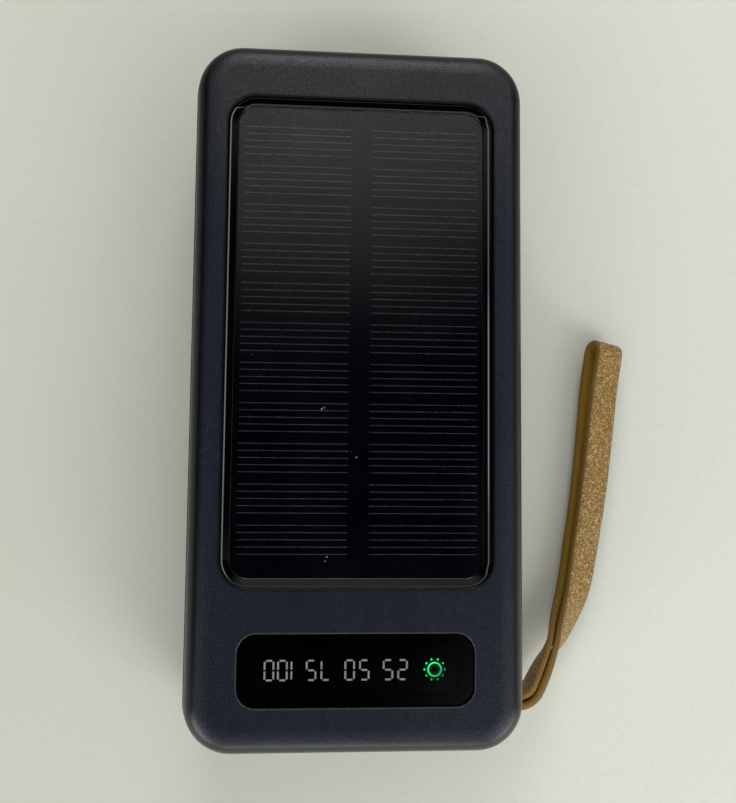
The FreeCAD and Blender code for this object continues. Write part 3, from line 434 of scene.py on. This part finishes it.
def table_top():
    """A pale, faintly mottled painted board; its colour is painted darker and a little warmer to the left and
    paler to the right, as painted shade and painted light across it.
    """
    # The left and right colours are painted shade and painted light across the board.
    left, right = (0.66, 0.675, 0.57), (0.775, 0.785, 0.705)
    clouded, specked = (0.75, 0.76, 0.69), (0.555, 0.56, 0.50)
    paint = Paint("table_top", Specular_IOR_Level=0.3)
    x, _, _ = paint.axes()
    across = paint.span(x, -80.0, 80.0)
    cloud = paint.noise(0.008, detail=4.0)
    speck = paint.noise(0.9, detail=2.0)
    base = paint.mix(paint.span(cloud, 0.3, 0.7, 0.0, 0.5), paint.mix(across, left, right), clouded)
    paint.set(Base_Color=paint.mix(paint.span(speck, 0.55, 0.8, 0, 0.3), base, specked))
    paint.set(Roughness=paint.span(cloud, 0.3, 0.7, 0.5, 0.62))
    paint.set(Normal=paint.bump(speck, 0.02, 0.3))
    return paint.material


SUN_MM = (15.6, -55.3)
GREEN = (0.05, 0.95, 0.30)
BLACK = (0.012, 0.0125, 0.0145)
NO_GRAIN, UPRIGHT_GRAIN = (1, 1, 1), (1, 1, 0.05)

PAINTS = {
    "front_cover": cover_plastic(),
    "rear_shell": moulded("shell_plastic", (0.0050, 0.0056, 0.0075), rough=0.42, grain_mm=0.3, specular=0.3),
    "case_screws": metal("screw_steel", (0.36, 0.37, 0.39), rough=0.34, along=NO_GRAIN, grain_per_mm=3),
    "panel_bezel": edged_gloss(),
    "panel_tape": matted("tape_white", (0.7, 0.7, 0.67), grain_mm=0.2, spread=0.08),
    "panel_backsheet": moulded("backsheet", (0.0002, 0.0004, 0.0085), rough=0.4, grain_mm=0.15,
                               specular=0.02),
    "panel_laminate": clear("clear_laminate", smoke=0.02, rough=0.14, wave_mm=0.01),
    "solar_cells": silicon(),
    "display_lens": clear("smoked_lens", smoke=0.25, rough=0.12, wave_mm=0.003, window=CLEAR_WINDOW),
    "level_numbers": lit("sign_white", (0.84, 0.86, 0.88), 0.5),
    "sun_sign": lit("sign_green", GREEN, 1.5, centre_mm=SUN_MM, lean=(-0.25, 0.25)),
    "display_housing": glowing_housing(SUN_MM, ring_mm=1.3, reach_mm=1.1, colour=GREEN, strength=0.14),
    "display_lamps": gloss("lamp_body", (0.8, 0.78, 0.6), rough=0.2),
    "display_board": circuit_board("display_circuit_board"),
    "display_pins": metal("contact_metal", (0.83, 0.68, 0.35), rough=0.2),
    "pouch": pouch_foil(),
    "foam": matted("foam", (0.05, 0.05, 0.054), grain_mm=0.5, depth_mm=0.08, cellular=True),
    "battery_tape_sheet": matted("battery_tape", (0.72, 0.72, 0.68), grain_mm=0.25, spread=0.1),
    "battery_tabs": metal("nickel", (0.66, 0.64, 0.6), rough=0.22),
    "main_board": circuit_board("circuit_board"),
    "board_screws": metal("board_screw_steel", (0.5, 0.5, 0.52), rough=0.3, along=NO_GRAIN, grain_per_mm=3),
    "power_inductor": matted("ferrite", (0.12, 0.12, 0.128), grain_mm=0.2, rough=0.6),
    "chip": moulded("chip_plastic", (0.025, 0.025, 0.028), rough=0.55, grain_mm=0.12),
    "capacitors": metal("capacitor_can", (0.72, 0.73, 0.75), rough=0.25, along=UPRIGHT_GRAIN),
    "chip_resistors": matted("resistor_ceramic", (0.28, 0.23, 0.17), grain_mm=0.12, rough=0.5),
    "sleeve": metal("socket_steel", (0.62, 0.63, 0.64), rough=0.24),
    "dark_tongue": moulded("tongue_black", BLACK, rough=0.5, grain_mm=0.15),
    "pale_tongue": moulded("tongue_white", (0.72, 0.73, 0.72), rough=0.45, grain_mm=0.2, spread=0.05),
    "power_button": gloss("button_plastic", BLACK, rough=0.26),
    "button_switch": moulded("switch_plastic", (0.03, 0.03, 0.034), rough=0.5, grain_mm=0.15),
    "wire_red": gloss("wire_red", (0.5, 0.02, 0.015), rough=0.32),
    "wire_black": gloss("wire_black", BLACK, rough=0.32),
    "strap_pin": metal("pin_steel", (0.56, 0.56, 0.57), rough=0.25, along=UPRIGHT_GRAIN),
}

# The nodes whose finish goes by another name in PAINTS. The strap's CAD node is hidden.
SHARED = {
    "pouch": ("lower_battery_cell", "upper_battery_cell"),
    "foam": ("lower_foam_pad", "upper_foam_pad", "wrist_strap"),
    "chip": ("charge_controller_chip", "processor_chip"),
    "button_switch": ("switch_plunger",),
    "sleeve": ("left_usb_port_sleeve", "micro_charge_port_sleeve", "oval_charge_port_sleeve",
               "right_usb_port_sleeve"),
    "pale_tongue": ("left_usb_port_tongue", "right_usb_port_tongue"),
    "dark_tongue": ("micro_charge_port_tongue", "oval_charge_port_tongue"),
    "wire_red": ("panel_wire_positive", "battery_wire_positive"),
    "wire_black": ("panel_wire_negative", "battery_wire_negative"),
}
FINISHES = {sharer: finish for finish, sharers in SHARED.items() for sharer in sharers}
for node_name, node in nodes.items():
    node.data.materials.clear()
    node.data.materials.append(PAINTS[FINISHES.get(node_name, node_name)])


# ---------------------------------------------------------------- pieces made of mesh

def piece(name, mesh, body, slot, *materials):
    """An object of a mesh in the row frame that moves with a body."""
    thing = bpy.data.objects.new(name, mesh)
    bpy.context.scene.collection.objects.link(thing)
    for material in materials:
        mesh.materials.append(material)
    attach(thing, body)
    return thing


def boxes_mesh(name, boxes, bevel=0.0):
    """One mesh of separate boxes, each given by its lowest and highest corner in millimetres."""
    work = bmesh.new()
    for low, high in boxes:
        corners = [work.verts.new(Vector((x, y, z)) * MM) for z in (low[2], high[2])
                   for y in (low[1], high[1]) for x in (low[0], high[0])]
        for face in ((0, 2, 3, 1), (4, 5, 7, 6), (0, 1, 5, 4), (1, 3, 7, 5), (3, 2, 6, 7), (2, 0, 4, 6)):
            work.faces.new([corners[i] for i in face])
    if bevel:
        bmesh.ops.bevel(work, geom=work.edges[:], offset=bevel * MM, segments=2, affect="EDGES", profile=0.6)
    mesh = bpy.data.meshes.new(name)
    work.to_mesh(mesh)
    work.free()
    return mesh


def box_mm(node_name):
    low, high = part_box(node_name)
    return low / MM, high / MM


def finger_lines():
    """Five thin printed lines across every cell."""
    cells_along, cell_wide, cell_high, margin = 11, 21.9, 7.5, 0.15
    lines, line_pitch, line_wide, line_thick = 5, 1.42, 0.13, 0.018
    cells_low, cells_high = box_mm("solar_cells")
    strings = [cells_low.x + cell_wide / 2 + margin, cells_high.x - cell_wide / 2 - margin]
    boxes = []
    for centre_x in strings:
        for number in range(cells_along):
            middle = cells_low.y + cell_high / 2 + number * CELL_PITCH_MM
            for step in range(lines):
                y = middle + (step - (lines - 1) / 2) * line_pitch
                boxes.append(((centre_x - cell_wide / 2, y - line_wide / 2, cells_high.z),
                              (centre_x + cell_wide / 2, y + line_wide / 2, cells_high.z + line_thick)))
    mesh = boxes_mesh("finger_lines", boxes)
    piece("finger_lines", mesh, "case", "silicon", printed_silver())


def contact_strips():
    """Gold strips on the sockets' tongues: four under each wide one, five and six on the narrow ones."""
    sunk, from_tip, from_root = 0.02, 0.5, 1.0
    ports = (("left_usb", 4, 1.0, 2.2, True), ("right_usb", 4, 1.0, 2.2, True),
             ("micro_charge", 5, 0.4, 0.9, False), ("oval_charge", 6, 0.35, 0.85, False))
    boxes = []
    for port, count, wide, pitch, below in ports:
        low, high = box_mm(port + "_port_tongue")
        middle = (low.x + high.x) / 2
        z = (low.z - 0.08, low.z + sunk) if below else (high.z - sunk, high.z + 0.06)
        for number in range(count):
            x = middle + (number - (count - 1) / 2) * pitch
            boxes.append(((x - wide / 2, low.y + from_tip, z[0]), (x + wide / 2, high.y - from_root, z[1])))
    mesh = boxes_mesh("port_contacts", boxes, bevel=0.02)
    piece("port_contacts", mesh, "case", "contact_metal", PAINTS["display_pins"])


def chip_legs():
    """Soldered legs along two sides of each large chip."""
    legs, first, pitch, half_wide, reach, tall = 8, 0.45, 0.58, 0.12, 0.6, 0.35
    boxes = []
    for name in ("charge_controller_chip", "processor_chip"):
        low, high = box_mm(name)
        for number in range(legs):
            y = low.y + first + number * pitch
            for near, far in ((low.x - reach, low.x), (high.x, high.x + reach)):
                boxes.append(((near, y - half_wide, low.z), (far, y + half_wide, low.z + tall)))
    mesh = boxes_mesh("chip_legs", boxes, bevel=0.04)
    piece("chip_legs", mesh, "case", "nickel", PAINTS["battery_tabs"])


def resistor_ends():
    """Tinned ends on the small chip parts."""
    parts, pitch, half_long, half_end, proud = 9, 2.6, 0.8, 0.18, 0.03
    low, high = box_mm("chip_resistors")
    boxes = []
    for number in range(parts):
        centre = (number - (parts - 1) // 2) * pitch
        for side in (-1, 1):
            edge = centre + side * half_long
            boxes.append(((edge - half_end, low.y - proud, low.z),
                          (edge + half_end, high.y + proud, high.z + proud)))
    mesh = boxes_mesh("resistor_ends", boxes, bevel=0.03)
    piece("resistor_ends", mesh, "case", "nickel", PAINTS["battery_tabs"])


def dust_flecks():
    """A few specks of dust on the panel, as small ragged grains: five that the photograph shows, and
    fourteen finer ones anywhere."""
    draw = random.Random(5)
    top, sunk = box_mm("panel_laminate")[1].z, 0.015
    flecks = [(-7.5, -3.8, 0.28), (-7.0, -3.5, 0.18), (-0.4, -13.4, 0.2), (-6.1, -33.2, 0.2),
              (-6.5, -34.0, 0.14)]
    flecks += [(draw.uniform(-23, 23), draw.uniform(-34, 54), draw.uniform(0.05, 0.09)) for _ in range(14)]
    work = bmesh.new()
    for x, y, size in flecks:
        made = bmesh.ops.create_icosphere(work, subdivisions=1, radius=1.0)["verts"]
        turn = draw.uniform(0, math.pi)
        for vert in made:
            ragged = size * draw.uniform(0.6, 1.0)
            out_x, out_y = vert.co.x * ragged * 1.4, vert.co.y * ragged * 0.5
            vert.co = Vector((x + out_x * math.cos(turn) - out_y * math.sin(turn),
                              y + out_x * math.sin(turn) + out_y * math.cos(turn),
                              top + sunk + max(vert.co.z * ragged * 0.3, -sunk))) * MM
    mesh = bpy.data.meshes.new("dust_flecks")
    work.to_mesh(mesh)
    work.free()
    lint = matted("lint", (0.55, 0.56, 0.58), grain_mm=0.1, depth_mm=0.01)
    piece("dust_flecks", mesh, "case", "clear_laminate", lint)


# ---------------------------------------------------------------- wrist strap

# The doubled strap from the pin to its far fold: x, y and height of its middle in metres, how far
# its flat side leans from level in degrees, and the space between the middles of its two legs.
STRAP_ROUTE = [
    (0.0293, -0.0668, 0.0074, 90, 0.0034),
    (0.0345, -0.0667, 0.0074, 90, 0.0028),
    (0.0398, -0.0660, 0.0074, 90, 0.0021),
    (0.0422, -0.0612, 0.0072, 87, 0.0020),
    (0.0447, -0.0566, 0.0064, 76, 0.0017),
    (0.0473, -0.0526, 0.0048, 54, 0.0019),
    (0.0494, -0.0476, 0.0041, 40, 0.0024),
    (0.0514, -0.0424, 0.0036, 27, 0.0028),
    (0.0533, -0.0319, 0.0032, 20, 0.0031),
    (0.0548, -0.0227, 0.0033, 18, 0.0034),
    (0.0563, -0.0100, 0.0035, 18, 0.0038),
    (0.0576, 0.0040, 0.0038, 20, 0.0041),
    (0.0583, 0.0085, 0.0041, 21, 0.0042),
]
STRAP_WIDTH, STRAP_THICK, STRAP_EYE, FOLD_REACH = 0.007, 0.0013, 0.0017, 0.0050


def strap_points():
    """The spline's points from behind the pin, out along the upper leg, round the fold and back,
    each with the direction across the band."""
    upper, lower = [], []
    for number, (x, y, z, lean, gap) in enumerate(STRAP_ROUTE):
        before, after = STRAP_ROUTE[max(number - 1, 0)], STRAP_ROUTE[min(number + 1, len(STRAP_ROUTE) - 1)]
        ahead = Vector((after[0] - before[0], after[1] - before[1], 0)).normalized()
        aside = Vector((ahead.y, -ahead.x, 0))
        tilt = math.radians(lean)
        across = Vector((0, 0, 1)) * math.sin(tilt) - aside * math.cos(tilt)
        outward = aside * math.sin(tilt) + Vector((0, 0, 1)) * math.cos(tilt)
        middle = Vector((x, y, z))
        upper.append((middle + outward * gap / 2, across, ahead))
        lower.append((middle - outward * gap / 2, across, ahead))
    behind = Vector(STRAP_ROUTE[0][:3]) - upper[0][2] * STRAP_EYE
    up = Vector((0, 0, 1))
    start = [(behind, up), (upper[0][0] - upper[0][2] * STRAP_EYE, up)]
    finish = [(lower[0][0] - lower[0][2] * STRAP_EYE, up), (behind, up)]
    fold = [(point + ahead * FOLD_REACH, across) for point, across, ahead in (upper[-1], lower[-1])]
    legs = [[(point, across) for point, across, _ in leg] for leg in (upper, lower)]
    return start + legs[0] + fold + legs[1][::-1] + finish


def followed(points):
    """Points along the smooth line that a NURBS spline with these control points takes."""
    steps_a_span = 10
    curve = bpy.data.curves.new("route", "CURVE")
    curve.dimensions = "3D"
    curve.resolution_u = steps_a_span
    spline = curve.splines.new("NURBS")
    spline.points.add(len(points) - 1)
    for spot, point in zip(spline.points, points):
        spot.co = (*point, 1)
    spline.order_u = 3
    spline.use_endpoint_u = True
    holder = bpy.data.objects.new("route", curve)
    bpy.context.scene.collection.objects.link(holder)
    line = bpy.data.meshes.new_from_object(holder)
    found = [vert.co.copy() for vert in line.vertices]
    bpy.data.objects.remove(holder)
    bpy.data.curves.remove(curve)
    bpy.data.meshes.remove(line)
    return found


def band_outline():
    """The band's cross section, as shares of its half width and half thickness, and each side's material:
    0 the outer face, 1 the inner face, 2 an edge."""
    flat, rounded, quarter = 0.94, 0.06, math.pi / 2
    spots = (-flat, -0.6, -0.2, 0.2, 0.6)
    outer = [(share, 1.0, 0) for share in spots]
    inner = [(-share, -1.0, 1) for share in spots]
    right = [(flat + rounded * math.sin(step * quarter), math.cos(step * quarter), 2) for step in (0, 0.5, 1)]
    right.append((flat + rounded * math.cos(0.5 * quarter), -math.sin(0.5 * quarter), 2))
    left = [(-across, -up, side) for across, up, side in right]
    return outer + right + inner + left


def wrist_strap():
    """The flat band: glittered leatherette outside, lining inside, cut edges, and a slight crown."""
    crowned = 0.12
    points = strap_points()
    path = followed([point for point, _ in points])
    sides = followed([point + across * STRAP_WIDTH / 2 for point, across in points])
    outline = band_outline()
    mesh = bpy.data.meshes.new("strap_band")
    verts, faces, kinds = [], [], []
    for number, point in enumerate(path):
        ahead = (path[min(number + 1, len(path) - 1)] - path[max(number - 1, 0)]).normalized()
        across = sides[number] - point
        across = (across - ahead * across.dot(ahead)).normalized()
        outward = ahead.cross(across).normalized()
        for share, up, _ in outline:
            crown = 1 + crowned * (1 - share * share)
            verts.append(point + across * share * STRAP_WIDTH / 2 + outward * up * crown * STRAP_THICK / 2)
    around = len(outline)
    for ring in range(len(path) - 1):
        for spot in range(around):
            after = (spot + 1) % around
            a, b = ring * around + spot, ring * around + after
            faces.append((a, b, b + around, a + around))
            kinds.append(outline[spot][2])
    faces += [tuple(range(around))[::-1], tuple(len(verts) - around + spot for spot in range(around))]
    kinds += [2, 2]
    mesh.from_pydata(verts, [], faces)
    for face, kind in zip(mesh.polygons, kinds):
        face.material_index = kind
        face.use_smooth = True
    mesh.update()
    work = bmesh.new()
    work.from_mesh(mesh)
    bmesh.ops.recalc_face_normals(work, faces=work.faces)
    work.to_mesh(mesh)
    work.free()
    band = piece("strap_band", mesh, "strap", "strap_leatherette", glittered_leatherette(),
                 cloth("strap_lining", (0.33, 0.19, 0.014), (0.42, 0.245, 0.022), 4.5, 0.03),
                 cloth("strap_edge", (0.24, 0.14, 0.035), (0.38, 0.24, 0.085), 3.2, 0.05))
    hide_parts("wrist_strap")


finger_lines()
contact_strips()
chip_legs()
resistor_ends()
dust_flecks()
wrist_strap()


# ---------------------------------------------------------------- table, light and camera

def table():
    half_wide = 3.0
    work = bmesh.new()
    bmesh.ops.create_grid(work, x_segments=1, y_segments=1, size=half_wide)
    mesh = bpy.data.meshes.new("table")
    work.to_mesh(mesh)
    work.free()
    mesh.materials.append(table_top())
    thing = bpy.data.objects.new("table", mesh)
    bpy.context.scene.collection.objects.link(thing)


# The room's soft bright patches: the compass direction from +X towards +Y, the distance from straight up,
# the reach and the brightness of each.
ROOM_PATCHES = [
    (90, 38, 30, 0.70), (180, 42, 27, 0.46), (225, 42, 27, 0.60), (315, 42, 27, 0.85),
    (0, 48, 24, 0.30), (270, 50, 25, 1.00),
    (0, 63, 27, 0.50), (45, 63, 27, 0.80), (90, 63, 27, 0.40), (225, 63, 27, 1.51),
    (225, 83, 27, 4.30), (270, 83, 27, 2.90), (315, 83, 27, 4.70),
]
ROOM_WHITE = (0.985, 1.0, 0.985)


def soft_room():
    """A room that is dark straight above the table, with the soft bright patches round it."""
    world = bpy.data.worlds.new("room")
    bpy.context.scene.world = world
    world.use_nodes = True
    tree = world.node_tree
    tree.nodes.clear()
    looking = add_node(tree, "TexCoord").outputs["Generated"]
    strength = 0.0
    for compass, from_up, reach, bright in ROOM_PATCHES:
        around, down = math.radians(compass), math.radians(from_up)
        middle = (math.sin(down) * math.cos(around), math.sin(down) * math.sin(around), math.cos(down))
        turned = add_node(tree, "VectorMath", {0: looking, 1: middle},
                          operation="DOT_PRODUCT").outputs["Value"]
        patch = add_node(tree, "MapRange", {"Value": turned, "From Min": math.cos(math.radians(reach)),
                                            "From Max": 1.0, "To Min": 0.0, "To Max": bright},
                         interpolation_type="SMOOTHSTEP").outputs["Result"]
        strength = add_node(tree, "Math", {0: strength, 1: patch}, operation="ADD").outputs[0]
    background = add_node(tree, "Background", {"Color": ROOM_WHITE, "Strength": strength})
    add_node(tree, "OutputWorld", {"Surface": background.outputs[0]})


def lamp(name, compass, height, watts):
    """A square lamp aimed at the middle of the table, placed by its compass direction and height."""
    away, size = 0.7, 0.35
    around, up = math.radians(compass), math.radians(height)
    place = Vector((math.cos(up) * math.cos(around), math.cos(up) * math.sin(around), math.sin(up))) * away
    light = bpy.data.lights.new(name, "AREA")
    light.shape = "RECTANGLE"
    light.size = light.size_y = size
    light.energy = watts
    thing = bpy.data.objects.new(name, light)
    thing.location = place
    thing.rotation_euler = (-place).to_track_quat("-Z", "Y").to_euler()
    bpy.context.scene.collection.objects.link(thing)


def camera():
    """The photograph's view, fitted to the case's outline and the panel's corners."""
    sensor_mm, focal_mm, nearest = 36, 36.76, 0.01
    place, turn = (-0.009548, -0.014266, 0.191590), (4.161, -3.976, 0.556)
    lens = bpy.data.cameras.new("camera")
    lens.sensor_width = sensor_mm
    lens.lens = focal_mm
    lens.clip_start = nearest
    thing = bpy.data.objects.new("camera", lens)
    thing.location = place
    thing.rotation_euler = [math.radians(angle) for angle in turn]
    bpy.context.scene.collection.objects.link(thing)
    bpy.context.scene.camera = thing


table()
soft_room()
lamp("far_lamp", 90, 28, 1.8)
lamp("near_lamp", 315, 33, 0.8)
lamp("high_lamp", 315, 42, 0.32)
camera()
bpy.context.scene.view_settings.view_transform = "Standard"
